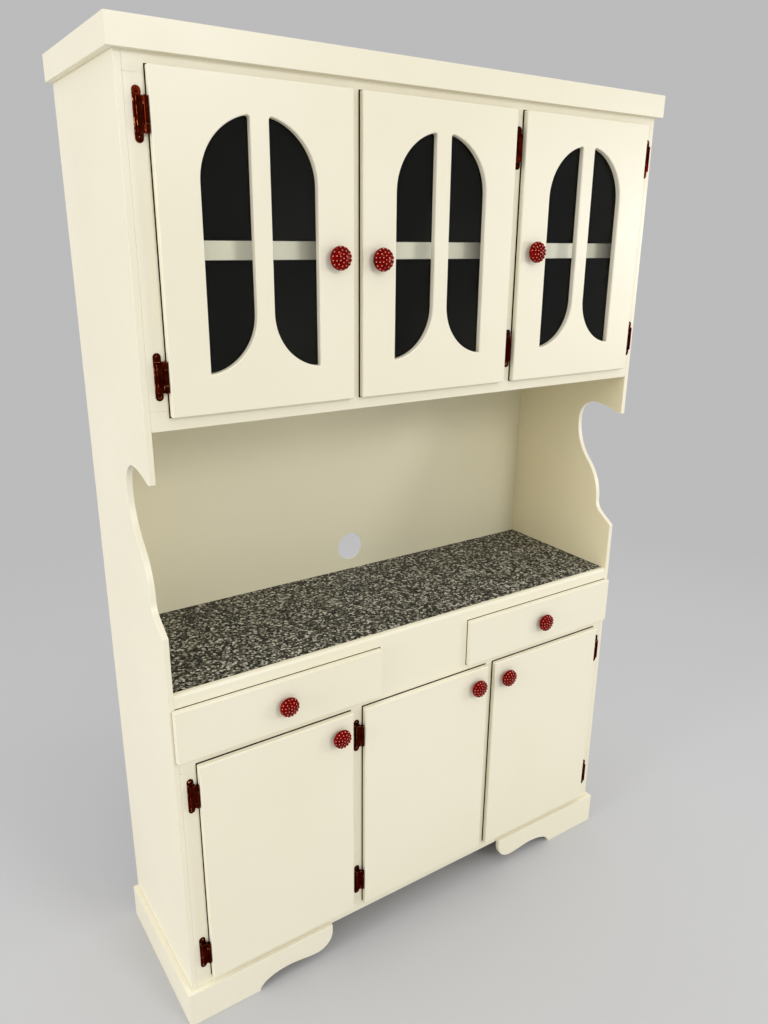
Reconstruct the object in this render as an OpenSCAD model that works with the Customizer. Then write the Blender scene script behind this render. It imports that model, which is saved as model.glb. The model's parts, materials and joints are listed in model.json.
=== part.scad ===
// China cabinet: three cupboard doors and two drawers below a worktop, an open bay with
// scalloped sides, and three glazed doors above, on a plinth with two front bracket feet.
// The origin is on the floor, in the middle of the cabinet's whole box.
// +X is the cabinet's right, +Y its back and +Z up. Lengths are in millimetres.

/* [Cabinet] */
// Width over the two side panels
cabinet_w = 1200; // [1120:10:1500]
// Depth from the face frame's front to the rear edges of the sides
cabinet_d = 364; // [340:2:440]

/* [Boards] */
// Thickness of the side panels
side_t = 12; // [9:0.5:18]
// Thickness of the face frame
frame_t = 12; // [11:0.5:18]
// Thickness of the top, floor and shelf boards
board_t = 12; // [9:0.5:18]
// Thickness of the back panel
back_t = 3; // [3:0.5:9]
// Thickness of the door boards
door_t = 12; // [11:0.5:18]
// Thickness of the worktop
worktop_t = 18; // [12:0.5:28]

/* [Levels] */
// Height of the lower doors
lower_door_h = 534; // [420:2:640]
// Strip of frame that shows below the lower doors
lower_door_lift = 26; // [16:0.5:40]
// Strip of frame between the lower doors and the drawer fronts
mid_reveal = 17; // [8:0.5:40]
// Height of the drawer fronts
drawer_front_h = 115; // [95:1:180]
// Strip of the counter rail above the drawer fronts
counter_reveal = 30; // [18:0.5:50]
// Height of the open bay, from the worktop to the upper cupboard
bay_h = 505; // [500:5:680]
// Strip of frame that shows below the upper doors
upper_door_lift = 23; // [12:0.5:40]
// Height of the upper doors
upper_door_h = 534; // [480:2:640]
// Strip of frame between the upper doors and the crown
crown_reveal = 17; // [8:0.5:40]

/* [Doors] */
// Frame strip on the left of the upper left door
upper_left_strip = 34; // [19:0.5:60]
// Frame strip between the upper left and middle doors
upper_left_gap = 19; // [12:0.5:40]
// Frame strip between the upper middle and right doors
upper_right_gap = 25.5; // [25:0.5:40]
// Frame strip on the right of the upper right door
upper_right_strip = 20.5; // [19:0.5:60]
// Frame strip on the left of the lower left door
lower_left_strip = 34; // [19:0.5:60]
// Frame strip between the lower left and middle doors
lower_left_gap = 31; // [25:0.5:40]
// Frame strip between the lower middle and right doors
lower_right_gap = 22.5; // [12:0.5:40]
// Frame strip on the right of the lower right door
lower_right_strip = 26.5; // [19:0.5:60]
// How far a door laps over the frame, on each edge
door_lap = 12; // [8:0.5:16]

/* [Windows] */
// Wood between a door's side edge and its window
window_stile = 73; // [60:1:90]
// Wood between a door's top edge and the window's arch
window_head = 55; // [35:1:90]
// Wood between a door's bottom edge and the window's lower corners
window_sill = 68; // [40:1:110]
// Width of the bar down the middle of a window
mullion_w = 34; // [20:1:50]
// How far the centre of a pane's lower curve lies beyond the pane's outer edge
pane_curve_past = 8; // [4:1:20]
// Radius of the corner between the bar and the arch
pane_top_r = 5; // [2:0.5:10]
// Radius of a pane's lower outer corner
pane_tip_r = 2; // [1:0.5:4]

/* [Glass] */
// Thickness of the glass
glass_t = 3; // [2:0.5:5]
// How far the glass reaches past the window's edge
glass_margin = 10; // [6:0.5:14]
// Length of a clip across the glass's edge
clip_l = 14; // [12:0.5:18]
// Height of a clip
clip_h = 12; // [8:0.5:18]
// Thickness of a clip
clip_t = 1.5; // [1:0.25:3]
// How far a clip holds over the glass
clip_hold = 4; // [2:0.5:5]
// Distance of the end clips from the glass's top and bottom edges
clip_inset = 60; // [30:1:90]

/* [Drawers] */
// Width of the fixed panel between the drawer fronts
bay_panel_w = 248; // [180:2:320]
// Distance from a drawer front's outer end to the cabinet's side
drawer_edge = 6; // [0:0.5:11]
// How far a drawer front laps over the frame, at its top, bottom and inner end
drawer_lap = 10; // [6:0.5:15]
// Frame width between a side panel and a drawer's opening
drawer_stile_w = 46; // [20:1:70]
// Thickness of the drawer fronts
drawer_front_t = 12; // [11:0.5:18]
// Thickness of the drawer boxes' boards
box_t = 12; // [9:0.5:15]
// Length of the drawer boxes, front to back
box_l = 320; // [240:2:325]
// Clearance between a drawer box and each side of its opening
box_side_clear = 3; // [1.5:0.5:6]
// Height of a drawer box's underside above its opening's lower edge
box_lift = 3; // [1.5:0.5:6]
// Clearance above a drawer box in its opening
box_headroom = 8; // [4:0.5:14]
// Thickness of the drawer bottoms
bottom_t = 3; // [3:0.5:6]
// Depth of the grooves that hold the drawer bottoms
groove_depth = 6; // [3:0.5:8]
// Height of the drawer bottoms above the box's lower edge
bottom_lift = 8; // [5:0.5:14]
// Height of the runners
runner_h = 18; // [12:0.5:30]
// How far a runner reaches under its drawer box
runner_lap = 14; // [12:0.5:24]
// Thickness of the partitions behind the fixed panel
partition_t = 12; // [9:0.5:18]

/* [Upper shelf] */
// Height of the shelf's top above the upper cupboard's floor
shelf_rise = 273; // [200:1:340]
// Distance from the face frame's front to the shelf's lipping
shelf_setback = 39; // [24:1:120]
// Height of the lipping on the shelf's front
lipping_h = 32; // [20:1:50]
// Thickness of the lipping
lipping_t = 12; // [6:0.5:18]

/* [Crown and plinth] */
// Height of the crown boards
crown_h = 45; // [30:1:80]
// Thickness of the crown boards
crown_t = 13; // [9:0.5:20]
// Height of the plinth boards
plinth_h = 85; // [80:1:120]
// Thickness of the plinth boards
plinth_t = 12; // [9:0.5:18]
// How far the front feet reach up over the base frame
foot_lap = 7; // [4:0.5:16]
// Length of a bracket foot along the front, from the cabinet's side
bracket_l = 342; // [320:1:420]
// Length of a foot on the floor, from the cabinet's side
foot_w = 153; // [100:1:156]
// Height of the arch beside a foot
arch_h = 32.5; // [28:0.5:45]
// Length of the arch's curve down to the foot
arch_w = 72; // [40:1:74]
// Height of the underside of a bracket's rounded end
lobe_z = 25; // [12:0.5:27]
// Radius of a bracket's rounded end
lobe_r = 42; // [30:0.5:48]

/* [Side scallops] */
// Height of the lower tip above the worktop
lower_tip_h = 120; // [90:1:140]
// Radius of the rounded lobe behind the lower tip
tip_lobe_r = 36; // [30:0.5:42]
// Turn of that lobe, in degrees
tip_lobe_turn = 55; // [45:1:65]
// Depth of the scallop's neck behind the front edge
neck_y = 53; // [48:1:60]
// Radius of the two sweeps from the neck to the deepest part
sweep_r = 137; // [120:1:139]
// Turn of each sweep, in degrees
sweep_turn = 46; // [40:1:47]
// Radius of the scallop's upper rear corner
scallop_top_r = 50; // [30:1:52]
// Distance from the upper cupboard's underside to the scallop's top
scallop_drop = 76; // [60:1:76]
// Fall of the brow from the scallop's top to the upper tip
brow_fall = 16; // [8:0.5:24]
// Depth of the flat on the upper tip
tip_flat = 12; // [6:0.5:16]
// Radius of the rounded edge on the rail before the worktop
rail_nose_r = 8; // [2:0.5:10]

/* [Cable hole] */
// Diameter of the cable hole in the back panel
cable_d = 70; // [30:1:90]
// Distance of the hole's centre to the right of the middle
cable_x = 21; // [-300:1:300]
// Height of the hole's centre above the worktop
cable_rise = 62; // [50:1:120]

/* [Hinges] */
// Length of the frame leaves
frame_leaf_h = 80; // [78:1:96]
// Width of the frame leaves
frame_leaf_w = 14; // [12:0.5:15]
// Thickness of the hinge leaves
leaf_t = 1.2; // [1:0.1:2]
// Height of a frame leaf's raised middle at its outer side
boss_h = 7.5; // [3:0.25:8.5]
// Distance of the raised middle from the leaf's outer edge
boss_inset = 1; // [0.5:0.25:2]
// Width of the slope on the raised middle's outer side
boss_run = 2.5; // [1:0.25:3]
// Length of the knuckles together
barrel_h = 52; // [40:1:54]
// Diameter of the knuckles
barrel_d = 8; // [6:0.25:8.5]
// Distance from the frame's front to the middle of the barrel
barrel_stand = 8.5; // [6.5:0.5:11]
// Diameter of the hinge pins
pin_d = 3; // [2:0.25:3.5]
// Distance of the hinges' middles from a door's top and bottom edges
hinge_inset = 69; // [50:1:100]
// How far a door leaf reaches behind its door
door_leaf_l = 27; // [25:0.5:32]
// Height of the door leaves behind the door
door_leaf_h = 46; // [34:1:52]

/* [Screws] */
// Diameter of the hinge screws' heads
head_d = 6.4; // [5:0.2:7]
// Height of the screws' heads
head_h = 1.9; // [1:0.1:2.4]
// Diameter of the hinge screws' shanks
shank_d = 3; // [2:0.25:3.5]
// How deep the screws reach into the wood
bite = 9; // [6:0.5:10]

/* [Knobs] */
// Diameter of the knobs' heads
knob_d = 43; // [30:1:48]
// Length of the knobs' necks
neck_l = 8; // [5:0.5:16]
// Diameter of the necks at their narrowest
neck_d = 16; // [12:0.5:22]
// Depth of the knobs' heads
knob_head_h = 15; // [12:0.5:20]
// Diameter of the threaded studs that hold the knobs
stud_d = 4; // [3:0.25:6]
// Length of the studs
stud_l = 10; // [6:0.5:10.5]
// Distance of the door knobs from the door's free edge
knob_inset = 36; // [30:1:60]
// Distance of the lower knobs from the door's top edge
knob_drop = 45; // [30:1:120]
// Distance of the upper left door's knob below the door's middle
upper_left_knob_drop = 10; // [-100:1:100]
// Distance of the upper middle door's knob below the door's middle
upper_middle_knob_drop = 13; // [-100:1:100]
// Distance of the upper right door's knob below the door's middle
upper_right_knob_drop = 0; // [-100:1:100]

/* [Clearances] */
// Clearance between a door leaf and the frame
leaf_clear = 1.3; // [0.2:0.05:1.6]
// Gap between a drawer front and the frame
drawer_gap = 0.5; // [0.2:0.1:2]
// Clearance between a knuckle and the door's edge, and between two knuckles
knuckle_clear = 0.5; // [0.3:0.05:0.8]
// Gap between a runner and the drawer box on it
runner_clear = 0.3; // [0.2:0.05:1]
// Clearance of a drawer bottom in its grooves
groove_clear = 0.2; // [0.1:0.05:0.5]
// Clearance of a stud or screw in its hole, on the diameter
hole_clear = 0.2; // [0.1:0.05:0.5]
// Clearance of a hinge pin in its knuckles, on the diameter
pin_clear = 0.15; // [0.05:0.05:0.2]
// Gap between the glass's edge and the clips
clip_clear = 0.3; // [0.1:0.05:1]

/* [Hidden] */
$fn = 48;
// How far a cutter passes the face that it cuts through
past = 1;
// How much deeper a hole is than what stands in it
hole_extra = 0.5;

// Finishes
CREAM = [0.94, 0.92, 0.84];
DARK = [0.06, 0.06, 0.06];
STONE = [0.35, 0.36, 0.36];
RED = [0.5, 0.03, 0.03];
COPPER = [0.36, 0.13, 0.08];
CLEAR = [0.75, 0.82, 0.85, 0.35];
PINE = [0.8, 0.66, 0.46];

// Widths, measured from the cabinet's middle
half_w = cabinet_w / 2;
inner_half = half_w - side_t;
// Depths, measured from the face frame's front
door_gap = leaf_t + leaf_clear;
inner_back = cabinet_d - back_t;
knob_l = neck_l + knob_head_h;
knob_reach = max(door_gap + door_t, drawer_gap + drawer_front_t) + knob_l;
// Place of the face frame's front in the model
face_y = (knob_reach - cabinet_d) / 2;
// Heights, measured from the floor
base_z = plinth_h - foot_lap;
lower_door_z = base_z + lower_door_lift;
lower_door_top = lower_door_z + lower_door_h;
drawer_front_z = lower_door_top + mid_reveal;
drawer_front_top = drawer_front_z + drawer_front_h;
counter_z = drawer_front_top + counter_reveal;
upper_z = counter_z + bay_h;
upper_door_z = upper_z + upper_door_lift;
upper_door_top = upper_door_z + upper_door_h;
crown_z = upper_door_top + crown_reveal;
cabinet_h = crown_z + crown_h;
// Openings of the face frames
lower_open = [lower_door_z + door_lap, lower_door_top - door_lap];
drawer_open = [drawer_front_z + drawer_lap, drawer_front_top - drawer_lap];
upper_open = [upper_door_z + door_lap, upper_door_top - door_lap];
bay_panel_half = bay_panel_w / 2 + drawer_lap;
drawer_open_out = inner_half - drawer_stile_w;
// Left and right edges of the doors in a row, from the frame strips beside them
function row_door_w(strips) =
    (2 * inner_half - strips[0] - strips[1] - strips[2] - strips[3]) / 3;
function strip_sum(strips, i) = i < 0 ? 0 : strips[i] + strip_sum(strips, i - 1);
function row_edges(strips) = [
    for (i = [0:2])
        let (left = -inner_half + strip_sum(strips, i) + i * row_door_w(strips))
        [left, left + row_door_w(strips)]
];
upper_strips = [upper_left_strip, upper_left_gap, upper_right_gap, upper_right_strip];
lower_strips = [lower_left_strip, lower_left_gap, lower_right_gap, lower_right_strip];
upper_edges = row_edges(upper_strips);
lower_edges = row_edges(lower_strips);
upper_door_w = row_door_w(upper_strips);
// The edge that each door hangs on: -1 is its left edge, 1 its right edge
upper_hung = [-1, 1, 1];
lower_hung = [-1, -1, 1];
// Window in an upper door, measured from the door's bottom edge and middle
window_half = upper_door_w / 2 - window_stile;
arch_z = upper_door_h - window_head - window_half;
pane_w = window_half - mullion_w / 2;
pane_curve_r = pane_w + pane_curve_past;
pane_curve_z = window_sill + sqrt(pow(pane_curve_r, 2) - pow(pane_curve_past, 2));
glass_half = window_half + glass_margin;
glass_z = [window_sill - glass_margin, upper_door_h - window_head + glass_margin];
clip_heights = [glass_z[0] + clip_inset, (glass_z[0] + glass_z[1]) / 2, glass_z[1] - clip_inset];
clip_screw_d = 2;
clip_head_d = 4.4;
clip_head_h = 1.2;
clip_screw_x = glass_half + clip_clear + (clip_l - clip_hold - clip_clear) / 2;
// Hinge barrel, measured from the door's edge and the frame's front
barrel_r = barrel_d / 2;
axis_x = barrel_r + knuckle_clear;
leaf_mid_x = barrel_r + frame_leaf_w / 2;
boss_x = barrel_r + frame_leaf_w - boss_inset;
// The web that ties a door leaf to its knuckle lies this far inside the knuckle's side
web_in = 0.2;
web_x = [barrel_r - web_in - leaf_t, barrel_r - web_in];
leaf_screw_z = (frame_leaf_h - frame_leaf_w) / 2;
door_knuckle_h = barrel_h / 2;
frame_knuckle_z = [door_knuckle_h / 2 + knuckle_clear, barrel_h / 2];
door_screw_edge = 7;
door_screw_x = door_leaf_l - door_screw_edge;
door_screw_z = door_leaf_h / 2 - door_screw_edge;
strip_lap = 1;
pin_tip_h = 1;
pin_tip_d = pin_d + 2;
// Drawer boxes, on the right side
box_x = [bay_panel_half + box_side_clear, drawer_open_out - box_side_clear];
box_z = [drawer_open[0] + box_lift, drawer_open[1] - box_headroom];
runner_top = box_z[0] - runner_clear;
partition_x = bay_panel_w / 2;
groove_w = bottom_t + 2 * groove_clear;
// Shelf and floors of the upper cupboard
shelf_z = upper_open[0] + shelf_rise;
// Scallop of the side panels, as depths and heights
lower_tip_z = counter_z + lower_tip_h;
lobe_slope = 90 - tip_lobe_turn;
lobe_foot_y = neck_y - tip_lobe_r * (1 - cos(tip_lobe_turn));
neck_z = lower_tip_z + lobe_foot_y * tan(lobe_slope) + tip_lobe_r * sin(tip_lobe_turn);
sweep_dy = sweep_r * (1 - cos(sweep_turn));
sweep_dz = sweep_r * sin(sweep_turn);
scallop_y = neck_y + 2 * sweep_dy;
scallop_top_z = upper_z - scallop_drop;
brow_l = scallop_y - scallop_top_r - tip_flat;
brow_r = (pow(brow_l, 2) + pow(brow_fall, 2)) / (2 * brow_fall);

// Points along an arc about c, from angle a0 to angle a1
function arc(c, r, a0, a1, n = 12) = [
    for (i = [0:n])
        let (a = a0 + (a1 - a0) * i / n)
        [c[0] + r * cos(a), c[1] + r * sin(a)]
];

// Outline of a side panel in depth and height, seen from the cabinet's right
function side_outline() = concat(
    [[0, 0], [0, lower_tip_z]],
    arc([neck_y - tip_lobe_r, neck_z], tip_lobe_r, -tip_lobe_turn, 0),
    arc([neck_y + sweep_r, neck_z], sweep_r, 180, 180 - sweep_turn),
    arc([scallop_y - sweep_r, neck_z + 2 * sweep_dz], sweep_r, -sweep_turn, 0),
    arc([scallop_y - scallop_top_r, scallop_top_z - scallop_top_r], scallop_top_r, 0, 90),
    arc([scallop_y - scallop_top_r, scallop_top_z - brow_r], brow_r, 90, 90 + asin(brow_l / brow_r)),
    [[0, scallop_top_z - brow_fall], [0, cabinet_h], [cabinet_d, cabinet_h], [cabinet_d, 0]]
);

// Outline of the right bracket foot in width and height
function bracket_outline() =
    let (
        end_x = half_w - bracket_l,
        lobe_x = end_x + lobe_r,
        foot_x = half_w - foot_w,
        arch_x = foot_x - arch_w
    )
    concat(
        [[end_x, plinth_h]],
        arc([lobe_x, lobe_z + lobe_r], lobe_r, 180, 270),
        [for (i = [1:7]) [
            lobe_x + (arch_x - lobe_x) * i / 8,
            lobe_z + (arch_h - lobe_z) * (1 - cos(180 * i / 8)) / 2
        ]],
        [for (a = [90:-7.5:0]) [arch_x + arch_w * cos(a), arch_h * sin(a)]],
        [[half_w + plinth_t, 0], [half_w + plinth_t, plinth_h]]
    );

// Outline of the right pane of a window, measured from the door's bottom middle
function pane_outline() =
    let (
        bar_x = mullion_w / 2,
        curve_x = bar_x + pane_curve_r,
        top_x = bar_x + pane_top_r,
        top_dz = sqrt(pow(window_half - pane_top_r, 2) - pow(top_x, 2)),
        top_a = atan2(top_dz, top_x),
        tip_x = window_half - pane_tip_r,
        tip_dz = sqrt(pow(pane_curve_r - pane_tip_r, 2) - pow(curve_x - tip_x, 2)),
        tip_a = atan2(-tip_dz, tip_x - curve_x)
    )
    concat(
        arc([top_x, arch_z + top_dz], pane_top_r, 180, top_a, 6),
        arc([0, arch_z], window_half, top_a, 0, 16),
        arc([tip_x, pane_curve_z - tip_dz], pane_tip_r, 0, tip_a, 6),
        arc([curve_x, pane_curve_z], pane_curve_r, tip_a, -180, 16)
    );

// Everything is drawn from the face frame's front, then moved to its place
module face() translate([0, face_y, 0]) children();

// A board between two corners
module block(low, high) translate(low) cube(high - low);

// An outline in depth and height, made a board of thickness t from x
module across(x, t) translate([x, 0, 0]) rotate([90, 0, 90]) linear_extrude(t) children();

// An outline in width and height, made a board of thickness t that ends at y
module upright(y, t) translate([0, y, 0]) rotate([90, 0, 0]) linear_extrude(t) children();

// What stands on the right, or its mirror image on the left
module on_side(s) mirror([s < 0 ? 1 : 0, 0, 0]) children();

module side_panel(s) color(CREAM) face() on_side(s)
    across(inner_half, side_t) polygon(side_outline());

module back_panel() color(CREAM) face() difference() {
    block([-inner_half, inner_back, 0], [inner_half, cabinet_d, cabinet_h]);
    translate([cable_x, inner_back - past, counter_z + cable_rise])
        rotate([-90, 0, 0]) cylinder(d = cable_d, h = back_t + 2 * past);
}

// A board from the face frame to the back panel, with its top at z
module level_board(z, front = frame_t, t = board_t)
    block([-inner_half, front, z - t], [inner_half, inner_back, z]);

module top_panel() color(CREAM) face() level_board(cabinet_h);
module upper_floor() color(CREAM) face() level_board(upper_open[0]);
module upper_shelf() color(DARK) face() level_board(shelf_z, shelf_setback + lipping_t);
module worktop() color(STONE) face() level_board(counter_z, frame_t, worktop_t);
module base_floor() color(CREAM) face() level_board(lower_open[0]);

module shelf_lipping() color(CREAM) face()
    block([-inner_half, shelf_setback, shelf_z - lipping_h],
          [inner_half, shelf_setback + lipping_t, shelf_z]);

// Plan of a front board with mitred ends, standing t proud of the frame and sides
module front_plan(t)
    polygon([[-half_w - t, -t], [half_w + t, -t], [half_w, 0], [-half_w, 0]]);

// Plan of the right side board that meets it
module side_plan(t)
    polygon([[half_w + t, -t], [half_w + t, cabinet_d], [half_w, cabinet_d], [half_w, 0]]);

module crown_front() color(CREAM) face()
    translate([0, 0, crown_z]) linear_extrude(crown_h) front_plan(crown_t);
module crown_side(s) color(CREAM) face() on_side(s)
    translate([0, 0, crown_z]) linear_extrude(crown_h) side_plan(crown_t);
module plinth_side(s) color(CREAM) face() on_side(s)
    linear_extrude(plinth_h) side_plan(plinth_t);
module bracket(s) color(CREAM) face() on_side(s) intersection() {
    upright(0, plinth_t) polygon(bracket_outline());
    linear_extrude(plinth_h) front_plan(plinth_t);
}

// A frame rail across the cabinet
module rail(low, high) block([-inner_half, 0, low], [inner_half, frame_t, high]);

module upper_rails() color(CREAM) face() {
    rail(upper_z, upper_open[0]);
    rail(upper_open[1], cabinet_h);
}

module base_rails() color(CREAM) face() {
    rail(base_z, lower_open[0]);
    rail(lower_open[1], drawer_open[0]);
}

// The rail in front of the worktop, with its upper front edge rounded
module counter_rail() color(CREAM) face() across(-inner_half, 2 * inner_half) polygon(concat(
    [[frame_t, counter_z], [frame_t, drawer_open[1]], [0, drawer_open[1]]],
    arc([rail_nose_r, counter_z - rail_nose_r], rail_nose_r, 180, 90)
));

// The uprights of a face frame: beside, and between, the three openings of a row
module row_stiles(edges, open) {
    lefts = [-inner_half, edges[0][1] - door_lap, edges[1][1] - door_lap, edges[2][1] - door_lap];
    rights = [edges[0][0] + door_lap, edges[1][0] + door_lap, edges[2][0] + door_lap, inner_half];
    for (i = [0:3])
        block([lefts[i], 0, open[0]], [rights[i], frame_t, open[1]]);
}

module upper_stiles() color(CREAM) face() difference() {
    row_stiles(upper_edges, upper_open);
    screw_holes(upper_edges, upper_hung, upper_door_z, upper_door_h);
}

module base_stiles() color(CREAM) face() difference() {
    union() {
        row_stiles(lower_edges, lower_open);
        for (s = [-1, 1]) on_side(s)
            block([drawer_open_out, 0, drawer_open[0]], [inner_half, frame_t, drawer_open[1]]);
    }
    screw_holes(lower_edges, lower_hung, lower_door_z, lower_door_h);
}

module drawer_bay_panel() color(CREAM) face()
    block([-bay_panel_half, 0, drawer_open[0]], [bay_panel_half, frame_t, drawer_open[1]]);

module drawer_partitions() color(PINE) face() for (s = [-1, 1]) on_side(s)
    block([partition_x - partition_t, frame_t, runner_top - runner_h],
          [partition_x, inner_back, counter_z - worktop_t]);

module drawer_runners() color(PINE) face() for (s = [-1, 1]) on_side(s) {
    block([partition_x, frame_t, runner_top - runner_h],
          [box_x[0] + runner_lap, inner_back, runner_top]);
    block([box_x[1] - runner_lap, frame_t, runner_top - runner_h],
          [inner_half, inner_back, runner_top]);
}

// A slot with round ends, w wide and h high
module slot(w, h) {
    square([w, h - w], center = true);
    for (s = [-1, 1]) translate([0, s * (h - w) / 2]) circle(d = w);
}

// The two hinges of a door, each drawn as if the door lay to the right of the barrel.
// The barrel's axis is then at x = 0, y = -barrel_stand.
module at_hinges(edges, hung, z, h)
    for (level = [z + hinge_inset, z + h - hinge_inset])
        translate([(hung < 0 ? edges[0] : edges[1]) + hung * axis_x, 0, level])
            on_side(-hung) children();

// The hinges of all three doors in a row
module at_row(edges, hung, z, h)
    for (i = [0:2]) at_hinges(edges[i], hung[i], z, h) children();

module at_all_hinges() {
    at_row(upper_edges, upper_hung, upper_door_z, upper_door_h) children();
    at_row(lower_edges, lower_hung, lower_door_z, lower_door_h) children();
}

module at_frame_screws()
    for (s = [-1, 1]) translate([-leaf_mid_x, 0, s * leaf_screw_z]) children();

module at_door_screws()
    for (s = [-1, 1]) translate([axis_x + door_screw_x, 0, s * door_screw_z]) children();

module screw_holes(edges, hung, z, h)
    at_row(edges, hung, z, h) at_frame_screws()
        translate([0, -past, 0]) rotate([-90, 0, 0])
            cylinder(d = shank_d + hole_clear, h = past + bite + hole_extra);

// A screw along +Z with a domed head on z = 0 and a cross recess
module screw(head, dome, shank, l) difference() {
    union() {
        rotate_extrude() polygon(concat(
            [[0, 0], [head / 2, 0]],
            [for (a = [0:30:90]) [head / 2 * cos(a), dome * (0.25 + 0.75 * sin(a))]]
        ));
        translate([0, 0, -l]) cylinder(d = shank, h = l + dome / 4);
    }
    for (a = [0, 90]) rotate(a)
        translate([-head * 0.3, -head * 0.06, dome * 0.45]) cube([head * 0.6, head * 0.12, dome]);
}

// The knuckle tube between two heights, with what ties it to its leaf
module knuckle(low, high) difference() {
    union() {
        translate([0, -barrel_stand, low]) cylinder(d = barrel_d, h = high - low);
        children();
    }
    translate([0, -barrel_stand, low - past])
        cylinder(d = pin_d + pin_clear, h = high - low + 2 * past);
}

// A flat leaf whose middle rises to the barrel
module frame_leaf() difference() {
    union() {
        translate([-leaf_mid_x, 0, 0]) upright(0, leaf_t) slot(frame_leaf_w, frame_leaf_h);
        translate([0, 0, -barrel_h / 2]) linear_extrude(barrel_h) polygon([
            [-boss_x, 0], [-boss_x, -leaf_t], [-boss_x + boss_run, -boss_h],
            [-axis_x, -barrel_stand], [-axis_x, 0]
        ]);
        for (s = [0, 1]) mirror([0, 0, s]) knuckle(frame_knuckle_z[0], frame_knuckle_z[1])
            block([-axis_x, -barrel_stand, frame_knuckle_z[0]], [-web_x[0], 0, frame_knuckle_z[1]]);
    }
    at_frame_screws() translate([0, -leaf_t - past, 0]) rotate([-90, 0, 0])
        cylinder(d = shank_d + hole_clear, h = leaf_t + 2 * past);
}

module door_leaf() difference() {
    union() {
        knuckle(-door_knuckle_h / 2, door_knuckle_h / 2) {
            block([web_x[0], -barrel_stand, -door_knuckle_h / 2],
                  [web_x[1], -leaf_clear, door_knuckle_h / 2]);
            block([web_x[0], -leaf_clear - leaf_t, -door_knuckle_h / 2],
                  [axis_x + strip_lap, -leaf_clear, door_knuckle_h / 2]);
        }
        block([axis_x, -leaf_clear - leaf_t, -door_leaf_h / 2],
              [axis_x + door_leaf_l, -leaf_clear, door_leaf_h / 2]);
    }
    at_door_screws() translate([0, -leaf_clear - leaf_t - past, 0]) rotate([-90, 0, 0])
        cylinder(d = shank_d + hole_clear, h = leaf_t + 2 * past);
}

module hinge_frame_leaves() color(COPPER) face() at_all_hinges() frame_leaf();

module hinge_pins() color(COPPER) face() at_all_hinges() translate([0, -barrel_stand, 0]) {
    cylinder(d = pin_d, h = barrel_h, center = true);
    for (s = [0, 1]) mirror([0, 0, s])
        translate([0, 0, barrel_h / 2]) cylinder(d = pin_tip_d, h = pin_tip_h);
}

module hinge_frame_screws() color(COPPER) face() at_all_hinges() at_frame_screws()
    translate([0, -leaf_t, 0]) rotate([90, 0, 0]) screw(head_d, head_h, shank_d, bite + leaf_t);

module hinge_leaves(edges, hung, z, h) color(COPPER) face() at_hinges(edges, hung, z, h) {
    door_leaf();
    at_door_screws() translate([0, -leaf_clear, 0])
        rotate([-90, 0, 0]) screw(head_d, head_h, shank_d, bite + leaf_t);
}

// The holes in a door's back for its hinge screws
module leaf_holes(edges, hung, z, h)
    at_hinges(edges, hung, z, h) at_door_screws() translate([0, -door_gap + past, 0])
        rotate([90, 0, 0]) cylinder(d = shank_d + hole_clear, h = past + bite + hole_extra);

// Where a door's knob stands: near its free edge, at height level
function knob_x(edges, hung) = hung < 0 ? edges[1] - knob_inset : edges[0] + knob_inset;

// The hole for a knob's stud, in a front whose face is at y
module stud_hole(x, y, z)
    translate([x, y - past, z]) rotate([-90, 0, 0])
        cylinder(d = stud_d + hole_clear, h = past + stud_l + hole_extra);

// A knob along +Z: stud, foot, waisted neck and domed head
module knob_shape() {
    r = knob_d / 2;
    rim_h = knob_head_h * 0.3;
    dome_h = knob_head_h - rim_h;
    flare = 2;
    foot_r = neck_d / 2 + flare;
    foot_h = 1.2;
    rotate_extrude() polygon(concat(
        [[0, -stud_l], [stud_d / 2, -stud_l], [stud_d / 2, 0], [foot_r, 0], [foot_r, foot_h]],
        [for (a = [22.5:22.5:180]) [foot_r - flare * sin(a), foot_h + (neck_l - foot_h) * a / 180]],
        [for (a = [-90:22.5:0]) [r - rim_h * (1 - cos(a)), neck_l + rim_h * (1 + sin(a))]],
        [for (a = [7.5:7.5:82.5]) [r * cos(a), neck_l + rim_h + dome_h * sin(a)]],
        [[0, knob_l]]
    ));
}

module knob(x, y, z) color(RED) face() translate([x, y, z]) rotate([90, 0, 0]) knob_shape();

module door_knob(edges, hung, z) knob(knob_x(edges, hung), -door_gap - door_t, z);

// Places on an upper door, measured from its bottom middle and its back
module on_upper_door(i)
    translate([(upper_edges[i][0] + upper_edges[i][1]) / 2, -door_gap, upper_door_z]) children();

upper_knob_z = [
    for (drop = [upper_left_knob_drop, upper_middle_knob_drop, upper_right_knob_drop])
        upper_door_z + upper_door_h / 2 - drop
];
lower_knob_z = lower_door_top - knob_drop;

module at_clips(i)
    on_upper_door(i) for (s = [-1, 1], level = clip_heights)
        on_side(s) translate([0, 0, level]) children();

module upper_door(i) color(CREAM) face() difference() {
    on_upper_door(i) upright(0, door_t) difference() {
        translate([-upper_door_w / 2, 0]) square([upper_door_w, upper_door_h]);
        for (s = [0, 1]) mirror([s, 0]) polygon(pane_outline());
    }
    leaf_holes(upper_edges[i], upper_hung[i], upper_door_z, upper_door_h);
    stud_hole(knob_x(upper_edges[i], upper_hung[i]), -door_gap - door_t, upper_knob_z[i]);
    at_clips(i) translate([clip_screw_x, past, 0]) rotate([90, 0, 0])
        cylinder(d = clip_screw_d + hole_clear, h = past + bite + hole_extra);
}

module glass(i) color(CLEAR) face() on_upper_door(i)
    block([-glass_half, 0, glass_z[0]], [glass_half, glass_t, glass_z[1]]);

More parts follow.
